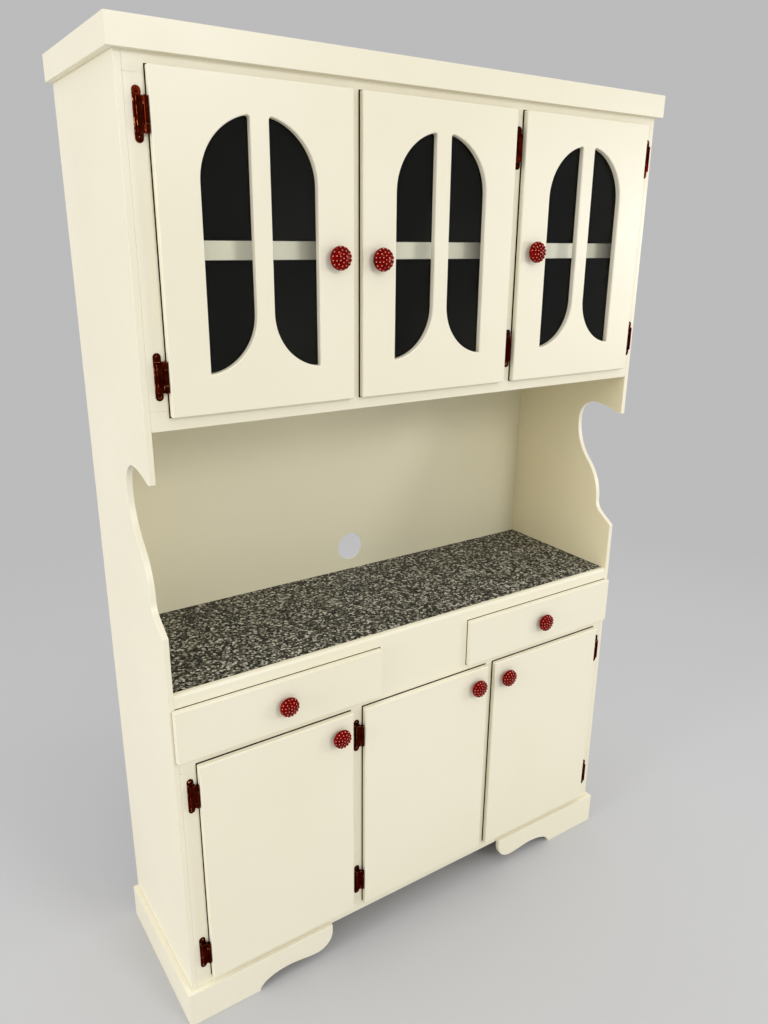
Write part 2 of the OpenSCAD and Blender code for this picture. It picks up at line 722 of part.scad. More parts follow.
// Stepped clips that hold the glass against the door's back, each with its screw
module clips(i) color(PINE) face() at_clips(i) {
    difference() {
        union() {
            block([glass_half + clip_clear, 0, -clip_h / 2],
                  [glass_half + clip_l - clip_hold, glass_t + clip_t, clip_h / 2]);
            block([glass_half - clip_hold, glass_t, -clip_h / 2],
                  [glass_half + clip_l - clip_hold, glass_t + clip_t, clip_h / 2]);
        }
        translate([clip_screw_x, -past, 0]) rotate([-90, 0, 0])
            cylinder(d = clip_screw_d + hole_clear, h = glass_t + clip_t + 2 * past);
    }
    translate([clip_screw_x, glass_t + clip_t, 0]) rotate([-90, 0, 0])
        screw(clip_head_d, clip_head_h, clip_screw_d, glass_t + clip_t + bite);
}

module lower_door(i) color(CREAM) face() difference() {
    block([lower_edges[i][0], -door_gap - door_t, lower_door_z],
          [lower_edges[i][1], -door_gap, lower_door_top]);
    leaf_holes(lower_edges[i], lower_hung[i], lower_door_z, lower_door_h);
    stud_hole(knob_x(lower_edges[i], lower_hung[i]), -door_gap - door_t, lower_knob_z);
}

drawer_front_x = [bay_panel_w / 2, half_w - drawer_edge];
drawer_knob_x = (drawer_front_x[0] + drawer_front_x[1]) / 2;
drawer_knob_z = (drawer_front_z + drawer_front_top) / 2;

module drawer_front(s) color(CREAM) face() on_side(s) difference() {
    block([drawer_front_x[0], -drawer_gap - drawer_front_t, drawer_front_z],
          [drawer_front_x[1], -drawer_gap, drawer_front_top]);
    stud_hole(drawer_knob_x, -drawer_gap - drawer_front_t, drawer_knob_z);
}

// The four boards of a drawer box, grooved for its bottom
module drawer_box(s) color(PINE) face() on_side(s) difference() {
    y = [-drawer_gap, box_l - drawer_gap];
    union() {
        for (x = [box_x[0], box_x[1] - box_t])
            block([x, y[0], box_z[0]], [x + box_t, y[1], box_z[1]]);
        for (y0 = [y[0], y[1] - box_t])
            block([box_x[0] + box_t, y0, box_z[0]], [box_x[1] - box_t, y0 + box_t, box_z[1]]);
    }
    block([box_x[0] + box_t - groove_depth - groove_clear, y[0] + box_t - groove_depth - groove_clear,
           box_z[0] + bottom_lift - groove_clear],
          [box_x[1] - box_t + groove_depth + groove_clear, y[1] - box_t + groove_depth + groove_clear,
           box_z[0] + bottom_lift - groove_clear + groove_w]);
}

module drawer_bottom(s) color(PINE) face() on_side(s)
    block([box_x[0] + box_t - groove_depth, -drawer_gap + box_t - groove_depth,
           box_z[0] + bottom_lift],
          [box_x[1] - box_t + groove_depth, box_l - drawer_gap - box_t + groove_depth,
           box_z[0] + bottom_lift + bottom_t]);

module drawer_knob(s) knob(s * drawer_knob_x, -drawer_gap - drawer_front_t, drawer_knob_z);

side_panel(-1);  // side_left
side_panel(1);  // side_right
back_panel();
top_panel();
crown_front();
crown_side(-1);  // crown_left
crown_side(1);  // crown_right
upper_floor();
upper_shelf();
shelf_lipping();
upper_rails();
upper_stiles();
counter_rail();
base_rails();
base_stiles();
drawer_bay_panel();
worktop();
drawer_partitions();
drawer_runners();
base_floor();
plinth_side(-1);  // plinth_left
plinth_side(1);  // plinth_right
bracket(-1);  // bracket_left
bracket(1);  // bracket_right
hinge_frame_leaves();
hinge_pins();
hinge_frame_screws();
upper_door(0);  // upper_left_door
glass(0);  // upper_left_glass
clips(0);  // upper_left_clips
door_knob(upper_edges[0], upper_hung[0], upper_knob_z[0]);  // upper_left_knob
hinge_leaves(upper_edges[0], upper_hung[0], upper_door_z, upper_door_h);  // upper_left_hinge_leaves
upper_door(1);  // upper_middle_door
glass(1);  // upper_middle_glass
clips(1);  // upper_middle_clips
door_knob(upper_edges[1], upper_hung[1], upper_knob_z[1]);  // upper_middle_knob
hinge_leaves(upper_edges[1], upper_hung[1], upper_door_z, upper_door_h);  // upper_middle_hinge_leaves
upper_door(2);  // upper_right_door
glass(2);  // upper_right_glass
clips(2);  // upper_right_clips
door_knob(upper_edges[2], upper_hung[2], upper_knob_z[2]);  // upper_right_knob
hinge_leaves(upper_edges[2], upper_hung[2], upper_door_z, upper_door_h);  // upper_right_hinge_leaves
lower_door(0);  // lower_left_door
door_knob(lower_edges[0], lower_hung[0], lower_knob_z);  // lower_left_knob
hinge_leaves(lower_edges[0], lower_hung[0], lower_door_z, lower_door_h);  // lower_left_hinge_leaves
lower_door(1);  // lower_middle_door
door_knob(lower_edges[1], lower_hung[1], lower_knob_z);  // lower_middle_knob
hinge_leaves(lower_edges[1], lower_hung[1], lower_door_z, lower_door_h);  // lower_middle_hinge_leaves
lower_door(2);  // lower_right_door
door_knob(lower_edges[2], lower_hung[2], lower_knob_z);  // lower_right_knob
hinge_leaves(lower_edges[2], lower_hung[2], lower_door_z, lower_door_h);  // lower_right_hinge_leaves
drawer_front(-1);  // left_drawer_front
drawer_box(-1);  // left_drawer_box
drawer_bottom(-1);  // left_drawer_bottom
drawer_knob(-1);  // left_drawer_knob
drawer_front(1);  // right_drawer_front
drawer_box(1);  // right_drawer_box
drawer_bottom(1);  // right_drawer_bottom
drawer_knob(1);  // right_drawer_knob
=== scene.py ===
"""A painted china cabinet: glazed doors above, an open bay, and drawers and cupboards below.

Lengths are in metres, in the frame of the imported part: +X is the cabinet's right, +Y its back.
"""
import json
import math

import bmesh
import bpy
from mathutils import Matrix, Vector

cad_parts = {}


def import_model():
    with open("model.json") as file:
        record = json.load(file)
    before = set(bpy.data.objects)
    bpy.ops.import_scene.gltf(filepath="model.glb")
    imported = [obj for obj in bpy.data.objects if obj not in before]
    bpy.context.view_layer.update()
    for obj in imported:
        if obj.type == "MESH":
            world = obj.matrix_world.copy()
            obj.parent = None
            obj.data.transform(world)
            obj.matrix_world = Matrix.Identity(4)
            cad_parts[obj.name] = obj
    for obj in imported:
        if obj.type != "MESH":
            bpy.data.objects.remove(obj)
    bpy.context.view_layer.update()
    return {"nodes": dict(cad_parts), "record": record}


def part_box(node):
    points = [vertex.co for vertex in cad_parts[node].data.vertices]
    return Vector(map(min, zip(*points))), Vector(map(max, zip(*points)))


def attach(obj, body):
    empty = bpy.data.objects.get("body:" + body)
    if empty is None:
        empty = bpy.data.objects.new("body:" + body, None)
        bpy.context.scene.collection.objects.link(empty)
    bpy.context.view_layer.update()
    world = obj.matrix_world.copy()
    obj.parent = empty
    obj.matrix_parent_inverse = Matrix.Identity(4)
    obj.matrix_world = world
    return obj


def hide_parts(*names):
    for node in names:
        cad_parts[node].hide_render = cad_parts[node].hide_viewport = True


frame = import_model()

NODES = frame["nodes"]
BODY_OF = {
    member: body
    for body, members in frame["record"]["behaviour"]["bodies"].items()
    for member in members
}
DOORS = [f"{row}_{place}" for row in ("upper", "lower") for place in ("left", "middle", "right")]
GLAZED = [name for name in DOORS if name.startswith("upper")]
DRAWERS = ["left_drawer", "right_drawer"]

# Colours of the finishes
CREAM = (0.85, 0.80, 0.635)
CREAM_WARM = (0.835, 0.78, 0.605)
BLACK_PAINT = (0.016, 0.013, 0.007)
HARDBOARD = (0.30, 0.19, 0.10)
HARDBOARD_DARK = (0.20, 0.12, 0.06)
PINE = (0.62, 0.43, 0.24)
PINE_DARK = (0.50, 0.30, 0.14)
# Copies of the cream, warmer for the bay's sides and darker for its back: painted shade in the open bay
BAY_SHADE_CREAM = (0.86, 0.78, 0.53)
BAY_SHADE_CREAM_WARM = (0.845, 0.76, 0.50)
BACK_SHADE_CREAM = (0.79, 0.74, 0.54)
BACK_SHADE_CREAM_WARM = (0.775, 0.72, 0.515)
GLASS = (0.93, 0.96, 0.94)
RED = (0.235, 0.002, 0.0006)
RED_DEEP = (0.08, 0.0005, 0.0005)
RED_SHEEN = (1.0, 0.12, 0.06, 1.0)
# Pale pink on the beads' tops: painted highlights
BEAD_HIGHLIGHT = (1.0, 0.42, 0.31)
COPPER = (0.034, 0.0026, 0.0006)
COPPER_WARM = (0.085, 0.0085, 0.0024)
# Worn copper, also used as painted highlights on edges and screw rims
COPPER_WORN_AND_HIGHLIGHT = (0.78, 0.36, 0.14)
COPPER_SHEEN = (0.5, 0.12, 0.05, 1.0)
BACKGROUND = (0.50, 0.50, 0.505)
FLOOR = (0.50, 0.50, 0.505)

# Rounding of the boards' edges
DOOR_ROUNDING = 0.0026
BOARD_ROUNDING = 0.0009
FRAME_ROUNDING = 0.0004
# A ring of edges less than this across is a hole for a screw or a stud, and stays sharp
SMALL_HOLE = 0.02
# Nothing is thinner than this
SHEET = 0.0003
# Points closer than this are joined
SAME_POINT = 1e-5
# Points closer than this to the plane of a cut lie on it
ON_CUT = 1e-6
# Bends between faces, in degrees: edges flatter than the first are dissolved and edges sharper
# than the second are rounded. Creases are sharper than the third, or on a knob than the fourth
FLAT_BEND = 0.5
SHARP_BEND = 30
CREASE = 40
KNOB_CREASE = 50

# The photograph's camera
CAMERA_PLACE = (-1.01202, -1.50003, 1.61748)
CAMERA_YAW = 0.59054
CAMERA_PITCH = -0.3216
CAMERA_ROLL = 0.00949
FOCAL_PIXELS = 818.1
IMAGE_HEIGHT = 1024
# The sensor's longer side in millimetres, as Blender counts it
SENSOR = 36


# Meshes

def new_object(name, mesh):
    made = bpy.data.objects.new(name, mesh)
    bpy.context.scene.collection.objects.link(made)
    return made


def bmesh_of(node):
    """A CAD node's faces, all in the first finish, ready for modelling."""
    bm = bmesh.new()
    bm.from_mesh(NODES[node].data)
    for face in bm.faces:
        face.material_index = 0
    return bm


def object_from(name, bm):
    """A new object with what was modelled in a bmesh, which is freed."""
    mesh = bpy.data.meshes.new(name)
    bm.to_mesh(mesh)
    bm.free()
    return new_object(name, mesh)


def bake_modifiers(piece):
    """Turns a piece's modifiers into plain mesh."""
    shown = piece.evaluated_get(bpy.context.evaluated_depsgraph_get())
    mesh = bpy.data.meshes.new_from_object(shown)
    piece.modifiers.clear()
    piece.data = mesh


def edge_groups(edges):
    """Sorts edges into groups that hang together."""
    left = set(edges)
    while left:
        group, ends = set(), [left.pop()]
        while ends:
            edge = ends.pop()
            group.add(edge)
            for vert in edge.verts:
                for other in vert.link_edges:
                    if other in left:
                        left.remove(other)
                        ends.append(other)
        yield group


def widest(edges):
    """The longest side of the box round some edges."""
    points = [vert.co for edge in edges for vert in edge.verts]
    return max(max(p[i] for p in points) - min(p[i] for p in points) for i in range(3))


def round_edges(bm, radius, segments, smallest, material_index, rear=None):
    """Rounds a board's sharp edges, apart from those round small holes and at its rear."""
    bmesh.ops.remove_doubles(bm, verts=bm.verts, dist=SAME_POINT)
    bmesh.ops.dissolve_limit(bm, angle_limit=math.radians(FLAT_BEND), verts=bm.verts, edges=bm.edges)
    least = math.radians(SHARP_BEND)
    sharp = [e for e in bm.edges if e.is_manifold and e.calc_face_angle() > least]
    if rear is not None:
        sharp = [e for e in sharp if min(vert.co.y for vert in e.verts) < rear - SHEET]
    chosen = [e for group in edge_groups(sharp) if widest(group) > smallest for e in group]
    bmesh.ops.bevel(bm, geom=chosen, offset=radius, offset_type="OFFSET", segments=segments,
                    profile=0.5, affect="EDGES", clamp_overlap=False, material=material_index)


def shade_smooth(piece, crease):
    for face in piece.data.polygons:
        face.use_smooth = True
    piece.data.set_sharp_from_angle(angle=math.radians(crease))


def smooth_faces(piece):
    """Shades a piece smooth, with its flat faces left flat."""
    shade_smooth(piece, CREASE)
    weighted = piece.modifiers.new("normals", "WEIGHTED_NORMAL")
    weighted.keep_sharp = True
    bake_modifiers(piece)


def dress(piece, node, *finishes):
    """Gives a piece its finishes and body, and lets it stand for a CAD node."""
    for material in finishes:
        piece.data.materials.append(material)
    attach(piece, BODY_OF[node])
    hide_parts(node)
    slot_of(node)


def slot_of(node):
    return next(p["material_slot"] for p in frame["record"]["subparts"] if p["node"] == node)


def mark_zone(bm, low, high, material_index):
    """Cuts the faces along a box and gives those inside it a finish of their own."""
    for axis in range(3):
        for corner in (low, high):
            normal = Vector((0, 0, 0))
            normal[axis] = 1
            bmesh.ops.bisect_plane(bm, geom=list(bm.verts) + list(bm.edges) + list(bm.faces),
                                   dist=ON_CUT, plane_co=corner, plane_no=normal)
    for face in bm.faces:
        middle = face.calc_center_median()
        if all(low[i] < middle[i] < high[i] for i in range(3)):
            face.material_index = material_index


def rounded_board(node, radius, material, edge_material=None, segments=3, smallest=SMALL_HOLE,
                  zones=(), rear=None):
    """A CAD piece with its edges eased, in the same place. Zones are boxes with a finish each."""
    bm = bmesh_of(node)
    round_edges(bm, radius, segments, smallest, 1 if edge_material else 0, rear)
    finishes = [material, edge_material] if edge_material else [material]
    for low, high, finish in zones:
        if finish not in finishes:
            finishes.append(finish)
        mark_zone(bm, low, high, finishes.index(finish))
    piece = object_from(f"eased_{node}", bm)
    smooth_faces(piece)
    dress(piece, node, *finishes)


def paint_node(node, material):
    """Gives a CAD node that keeps its own shape a finish."""
    data = NODES[node].data
    data.materials.clear()
    data.materials.append(material)


# Shader nodes

def add(tree, kind, inputs=None, **settings):
    """Adds a shader node. Its inputs are values, or sockets to link from."""
    made = tree.nodes.new(kind)
    for key, value in settings.items():
        setattr(made, key, value)
    for key, value in (inputs or {}).items():
        if isinstance(value, bpy.types.NodeSocket):
            tree.links.new(value, made.inputs[key])
        else:
            made.inputs[key].default_value = value
    return made


def opaque(color):
    return (*color, 1.0)


def material_with(name, roughness, **sockets):
    """A new material with its tree, shader and object coordinates."""
    material = bpy.data.materials.new(name)
    material.use_nodes = True
    tree = material.node_tree
    shader = tree.nodes["Principled BSDF"]
    shader.inputs["Roughness"].default_value = roughness
    for socket, value in sockets.items():
        shader.inputs[socket.replace("_", " ")].default_value = value
    return material, tree, shader, add(tree, "ShaderNodeTexCoord").outputs["Object"]


def noise(tree, place, scale, detail=2.0, roughness=0.5):
    return add(tree, "ShaderNodeTexNoise", {
        "Vector": place, "Scale": scale, "Detail": detail, "Roughness": roughness,
    }).outputs["Fac"]


def stretched(tree, place, scale):
    return add(tree, "ShaderNodeMapping", {"Vector": place, "Scale": scale}).outputs["Vector"]


def ramp(tree, value, low, high, to_low=0.0, to_high=1.0):
    return add(tree, "ShaderNodeMapRange", {
        "Value": value, "From Min": low, "From Max": high, "To Min": to_low, "To Max": to_high,
    }).outputs["Result"]


def blend_colors(tree, share, first, second):
    """Mixes two colours, each a value or a socket."""
    mix = add(tree, "ShaderNodeMix", data_type="RGBA")
    for index, value in ((0, share), (6, first), (7, second)):
        if isinstance(value, bpy.types.NodeSocket):
            tree.links.new(value, mix.inputs[index])
        else:
            mix.inputs[index].default_value = value if index == 0 else opaque(value)
    return mix.outputs[2]


def calculate(tree, operation, first, second):
    made = add(tree, "ShaderNodeMath", operation=operation)
    for index, value in ((0, first), (1, second)):
        if isinstance(value, bpy.types.NodeSocket):
            tree.links.new(value, made.inputs[index])
        else:
            made.inputs[index].default_value = value
    return made.outputs["Value"]


def bump(tree, shader, height, depth):
    made = add(tree, "ShaderNodeBump", {"Height": height, "Distance": depth, "Strength": 1.0})
    tree.links.new(made.outputs["Normal"], shader.inputs["Normal"])


# Finishes

def paint(name, first, second):
    """Satin paint: a fine sprayed texture and faint unevenness."""
    material, tree, shader, place = material_with(name, roughness=0.36)
    patches = ramp(tree, noise(tree, place, scale=2.6, detail=3.0), low=0.35, high=0.65)
    tree.links.new(blend_colors(tree, patches, first, second), shader.inputs["Base Color"])
    sheen = ramp(tree, noise(tree, place, scale=9.0, detail=4.0), low=0.3, high=0.7,
                 to_low=0.32, to_high=0.41)
    tree.links.new(sheen, shader.inputs["Roughness"])
    peel = noise(tree, place, scale=420.0, detail=1.0)
    sag = noise(tree, place, scale=34.0)
    height = calculate(tree, "ADD", calculate(tree, "MULTIPLY", sag, 2.0), peel)
    bump(tree, shader, height, depth=0.00006)
    return material


def hardboard():
    """Bare pressed board, with its fibres and blotches."""
    material, tree, shader, place = material_with("bare_hardboard", roughness=0.75)
    fibres = ramp(tree, noise(tree, place, scale=900.0, detail=4.0, roughness=0.7),
                  low=0.35, high=0.65)
    blotches = ramp(tree, noise(tree, place, scale=40.0, detail=5.0), low=0.3, high=0.7, to_high=0.5)
    share = calculate(tree, "MAXIMUM", fibres, blotches)
    tree.links.new(blend_colors(tree, share, HARDBOARD, HARDBOARD_DARK), shader.inputs["Base Color"])
    bump(tree, shader, fibres, depth=0.00008)
    return material


def black_paint():
    """Matt black: the cupboards' inside colour, and painted shade in the gaps round their fronts."""
    material, tree, shader, place = material_with(
        "black_paint", roughness=0.6, Specular_IOR_Level=0.12)
    mottle = ramp(tree, noise(tree, place, scale=7.0, detail=3.0), low=0.3, high=0.7,
                  to_low=0.5, to_high=0.7)
    tree.links.new(mottle, shader.inputs["Roughness"])
    shader.inputs["Base Color"].default_value = opaque(BLACK_PAINT)
    bump(tree, shader, noise(tree, place, scale=300.0), depth=0.00005)
    return material


def granite():
    """A laminated top with a grey speckle in several sizes of grain."""
    material, tree, shader, place = material_with(
        "speckled_laminate", roughness=0.4, Specular_IOR_Level=0.12)
    grains = add(tree, "ShaderNodeTexVoronoi", {"Vector": place, "Scale": 205.0, "Randomness": 1.0})
    shade = add(tree, "ShaderNodeSeparateColor", {"Color": grains.outputs["Color"]}).outputs[0]
    clumps = noise(tree, place, scale=95.0, detail=3.0, roughness=0.6)
    tone = calculate(tree, "ADD", calculate(tree, "MULTIPLY", shade, 0.62),
                     calculate(tree, "MULTIPLY", clumps, 0.5))
    bands = add(tree, "ShaderNodeValToRGB", {"Fac": tone})
    stops = bands.color_ramp
    stops.interpolation = "CONSTANT"
    greys = ((0.0, (0.004, 0.004, 0.003)), (0.46, (0.03, 0.029, 0.022)), (0.58, (0.12, 0.115, 0.09)),
             (0.70, (0.28, 0.27, 0.22)), (0.80, (0.58, 0.56, 0.48)))
    stops.elements[0].color = opaque(greys[0][1])
    stops.elements[1].position, stops.elements[1].color = greys[-1][0], opaque(greys[-1][1])
    for position, grey in greys[1:-1]:
        stops.elements.new(position).color = opaque(grey)
    tree.links.new(bands.outputs["Color"], shader.inputs["Base Color"])
    bump(tree, shader, noise(tree, place, scale=500.0, detail=1.0), depth=0.00004)
    return material


def pine():
    """Sanded softwood with its grain along the boards."""
    material, tree, shader, place = material_with("sanded_pine", roughness=0.6)
    grain = noise(tree, stretched(tree, place, (6.0, 6.0, 110.0)), scale=1.0, detail=6.0,
                  roughness=0.6)
    fine = noise(tree, stretched(tree, place, (30.0, 30.0, 900.0)), scale=1.0, detail=3.0)
    both = calculate(tree, "ADD", grain, calculate(tree, "MULTIPLY", fine, 0.4))
    share = ramp(tree, both, low=0.5, high=0.95)
    tree.links.new(blend_colors(tree, share, PINE, PINE_DARK), shader.inputs["Base Color"])
    bump(tree, shader, fine, depth=0.0001)
    return material


def clear_glass():
    """Window glass that lets the lamps' light through to the shelf."""
    material, tree, shader, _ = material_with(
        "clear_glass", roughness=0.02, Transmission_Weight=1.0, IOR=1.2)
    shader.inputs["Base Color"].default_value = opaque(GLASS)
    path = add(tree, "ShaderNodeLightPath").outputs
    passing = calculate(tree, "MAXIMUM", path["Is Shadow Ray"], path["Is Diffuse Ray"])
    clear = add(tree, "ShaderNodeBsdfTransparent")
    mix = add(tree, "ShaderNodeMixShader", {
        0: passing, 1: shader.outputs["BSDF"], 2: clear.outputs["BSDF"]})
    tree.links.new(mix.outputs["Shader"], tree.nodes["Material Output"].inputs["Surface"])
    return material


def red_gloss():
    """Dark red moulded plastic with a clear gloss."""
    material, tree, shader, place = material_with(
        "red_gloss", roughness=0.12, Specular_IOR_Level=0.3, Specular_Tint=RED_SHEEN)
    depth = ramp(tree, noise(tree, place, scale=160.0), low=0.3, high=0.7)
    tree.links.new(blend_colors(tree, depth, RED, RED_DEEP), shader.inputs["Base Color"])
    return material


def bead_tip():
    """Painted highlights on the tops of the knobs' beads, brighter on some beads than others."""
    material, tree, shader, place = material_with(
        "bead_tip", roughness=0.2, Specular_IOR_Level=0.3, Specular_Tint=RED_SHEEN)
    # Noise sets how bright each bead's painted highlight is
    wear_and_highlight = ramp(tree, noise(tree, place, scale=120.0, detail=1.0), low=0.28, high=0.46)
    tree.links.new(blend_colors(tree, wear_and_highlight, RED, BEAD_HIGHLIGHT), shader.inputs["Base Color"])
    return material


def worn_copper_and_highlight():
    """Bright copper where the plating is worn, also laid on edges and screw rims as painted highlights.
    """
    material, tree, shader, place = material_with("rubbed_copper", roughness=0.25, Metallic=1.0)
    # Noise picks which spots show the bright copper, worn metal and painted highlight
    wear_and_highlight = ramp(tree, noise(tree, place, scale=140.0, detail=3.0), low=0.33, high=0.50)
    tree.links.new(blend_colors(tree, wear_and_highlight, COPPER_WORN_AND_HIGHLIGHT, COPPER_WARM), shader.inputs["Base Color"])
    return material


def old_copper():
    """Dark lacquered copper plating, uneven from the press."""
    material, tree, shader, place = material_with(
        "old_copper", roughness=0.2, Metallic=1.0, Specular_Tint=COPPER_SHEEN)
    mottle = noise(tree, place, scale=70.0)
    warmth = ramp(tree, mottle, low=0.4, high=0.7)
    tree.links.new(blend_colors(tree, warmth, COPPER, COPPER_WARM), shader.inputs["Base Color"])
    polish = ramp(tree, mottle, low=0.3, high=0.7, to_low=0.10, to_high=0.18)
    tree.links.new(polish, shader.inputs["Roughness"])
    bump(tree, shader, noise(tree, place, scale=55.0, detail=1.0), depth=0.00025)
    return material


cream = paint("cream_paint", CREAM, CREAM_WARM)
# Shaded copies of the cream paint for the open bay: painted shade
bay_shade_cream = paint("bay_shade_paint", BAY_SHADE_CREAM, BAY_SHADE_CREAM_WARM)
back_shade_cream = paint("back_shade_paint", BACK_SHADE_CREAM, BACK_SHADE_CREAM_WARM)
bare_board = hardboard()
dark = black_paint()
stone = granite()
wood = pine()
glass = clear_glass()
red = red_gloss()
# Painted highlights for the tops of the knobs' beads
tip = bead_tip()
copper = old_copper()
# Bright copper: worn metal and painted highlights
rubbed = worn_copper_and_highlight()

# Boards

# Zones reach a little into the boards round them, so that they take in their faces
MARGIN = Vector((SHEET, SHEET, SHEET))
# Painted shade: the black under a front runs this far past its edges, as a dark line round it
GAP_SHADE_LINE = Vector((0.0015, 0, 0.0015))


def space_inside(floor, top, front, finish):
    """The space between the sides, from a board's top to another's underside, with a finish."""
    low = Vector((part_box("side_left")[1].x, front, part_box(floor)[1].z))
    high = Vector((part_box("side_right")[0].x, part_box("back_panel")[0].y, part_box(top)[0].z))
    return low - MARGIN, high + MARGIN, finish


def rear_of(node, finish):
    """A board's rear face, with a finish."""
    low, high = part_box(node)
    return Vector((low.x, high.y, low.z)) - MARGIN, high + MARGIN, finish


def gap_shade_under_front(node, finish):
    """The part of the face frame that a closed front covers, and a line round it, with a finish, used
    for black painted shade in the gap.
    """
    low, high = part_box(node)
    low, high = low - GAP_SHADE_LINE, high + GAP_SHADE_LINE
    low.y, high.y = frame_front - SHEET, frame_back + SHEET
    return low, high, finish


frame_front, frame_back = (corner.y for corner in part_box("upper_rails"))
cupboard = space_inside("upper_floor", "top_panel", frame_back, dark)
base = space_inside("base_floor", "worktop", frame_back, dark)
bay = ("worktop", "upper_rails", frame_front)
# Black on the face frame under each front and a little past it: painted shade for the gap lines
upper_gap_shade = [gap_shade_under_front(f"{name}_door", dark) for name in GLAZED]
base_gap_shade = [gap_shade_under_front(f"{name}_door", dark) for name in DOORS if name not in GLAZED]
base_gap_shade += [gap_shade_under_front(f"{name}_front", dark) for name in DRAWERS]

EASED = [
    "crown_front", "crown_left", "crown_right", "plinth_left", "plinth_right",
    "bracket_left", "bracket_right", "shelf_lipping",
]
for node in EASED:
    rounded_board(node, BOARD_ROUNDING, cream)
for node in ("side_left", "side_right"):
    # The sides' faces in the bay take the warmer painted shade cream
    rounded_board(node, BOARD_ROUNDING, cream, zones=[cupboard, base, space_inside(*bay, bay_shade_cream)])
# Frame boards: black inside the cupboard, and painted gap shade round the upper doors
for node in ("top_panel", "upper_floor", "upper_rails", "upper_stiles"):
    rounded_board(node, FRAME_ROUNDING, cream, segments=1, zones=[cupboard, *upper_gap_shade])
# Frame boards: black inside the cupboard, and painted gap shade round the lower doors and drawers
for node in ("base_floor", "counter_rail", "base_rails", "base_stiles", "drawer_bay_panel"):
    rounded_board(node, FRAME_ROUNDING, cream, segments=1, zones=[base, *base_gap_shade])
# The back panel's face in the bay takes the darker painted shade cream
rounded_board("back_panel", FRAME_ROUNDING, cream, segments=1, zones=[
    cupboard, base, space_inside(*bay, back_shade_cream), rear_of("back_panel", bare_board)])
# The fronts' backs are black: the cupboards' colour, and painted shade that darkens the gaps round them
for board in [f"{name}_door" for name in DOORS] + [f"{name}_front" for name in DRAWERS]:
    rounded_board(board, DOOR_ROUNDING, cream, rear=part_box(board)[1].y, zones=[rear_of(board, dark)])
for name in DRAWERS:
    paint_node(f"{name}_box", wood)
    paint_node(f"{name}_bottom", wood)
for name in GLAZED:
    paint_node(f"{name}_glass", glass)
    paint_node(f"{name}_clips", wood)
paint_node("upper_shelf", dark)
paint_node("worktop", stone)
paint_node("drawer_partitions", wood)
paint_node("drawer_runners", wood)

# Hinges

LEAF_ROUNDING = 0.0004
# A ring of edges on a leaf that is less than this across is a screw hole, and stays sharp
LEAF_HOLE = 0.0055
# The rim of a screw's head, in bright copper as worn metal and a painted highlight, begins at this share
# of its radius
RIM_SHARE = 0.82


def rim_screws():
    """The frame leaves' screws, with the rims of their heads in bright copper, worn metal and a painted
    highlight.
    """
    bm = bmesh_of("hinge_frame_screws")
    for group in edge_groups(bm.edges):
        verts = {vert for edge in group for vert in edge.verts}
        x = (min(v.co.x for v in verts) + max(v.co.x for v in verts)) / 2
        z = (min(v.co.z for v in verts) + max(v.co.z for v in verts)) / 2
        reach = max(v.co.x for v in verts) - x
        for face in {face for edge in group for face in edge.link_faces}:
            middle = face.calc_center_median()
            if math.hypot(middle.x - x, middle.z - z) > RIM_SHARE * reach:
                face.material_index = 1
    piece = object_from("rimmed_hinge_frame_screws", bm)
    smooth_faces(piece)
    dress(piece, "hinge_frame_screws", copper, rubbed)


# The leaves' eased edges take the bright copper: partly worn metal, partly painted highlight
for node in ["hinge_frame_leaves"] + [f"{name}_hinge_leaves" for name in DOORS]:
    rounded_board(node, LEAF_ROUNDING, copper, rubbed, segments=2, smallest=LEAF_HOLE)
paint_node("hinge_pins", copper)
rim_screws()

# Knobs

STUD_LENGTH = 0.010
STUD_RADIUS = 0.002
NECK_LENGTH = 0.008
NECK_RADIUS = 0.008
# The neck widens by this much at its foot, which has a plain edge of this height
NECK_FLARE = 0.002
FOOT_HEIGHT = 0.0012
# Radius of the rounded rim between the neck and the dome
RIM_RADIUS = 0.0035
BEAD_RADIUS = 0.0031
BEAD_PROUD = 0.0019
# Beads in each ring, from the middle out, and the ring's share of the dome's quarter arc
BEAD_RINGS = ((1, 0.0), (6, 0.21), (11, 0.42), (16, 0.67))
# A bead's painted highlight takes in the faces this far from its middle
HIGHLIGHT_RADIUS = 0.0013
# Faces round a knob
LATHE_STEPS = 48
# Faces round a bead, and from its top to its bottom
BEAD_STEPS = (14, 10)


def lathe(bm, profile):
    """Turns a profile of (radius, height) points round +Z."""
    steps = LATHE_STEPS
    rings = []
    for radius, height in profile:
        if radius == 0:
            rings.append([bm.verts.new((0, 0, height))])
            continue
        turns = [math.tau * i / steps for i in range(steps)]
        rings.append([bm.verts.new((radius * math.cos(a), radius * math.sin(a), height)) for a in turns])
    for low, high in zip(rings, rings[1:]):
        for i in range(steps):
            corners = [low[i % len(low)], low[(i + 1) % len(low)],
                       high[(i + 1) % len(high)], high[i % len(high)]]
            bm.faces.new(list(dict.fromkeys(corners)))


def add_bead(bm, place, radius, normal):
    """Adds a bead that faces along a normal, with its top in the second finish, a painted highlight."""
    around, along = BEAD_STEPS
    made = bmesh.ops.create_uvsphere(bm, u_segments=around, v_segments=along, radius=radius)["verts"]
    for face in {face for vert in made for face in vert.link_faces}:
        middle = face.calc_center_median()
        if middle.z > 0 and math.hypot(middle.x, middle.y) < HIGHLIGHT_RADIUS:
            face.material_index = 1
    facing = normal.to_track_quat("Z", "Y").to_matrix().to_4x4()
    bmesh.ops.transform(bm, matrix=Matrix.Translation(place) @ facing, verts=made)


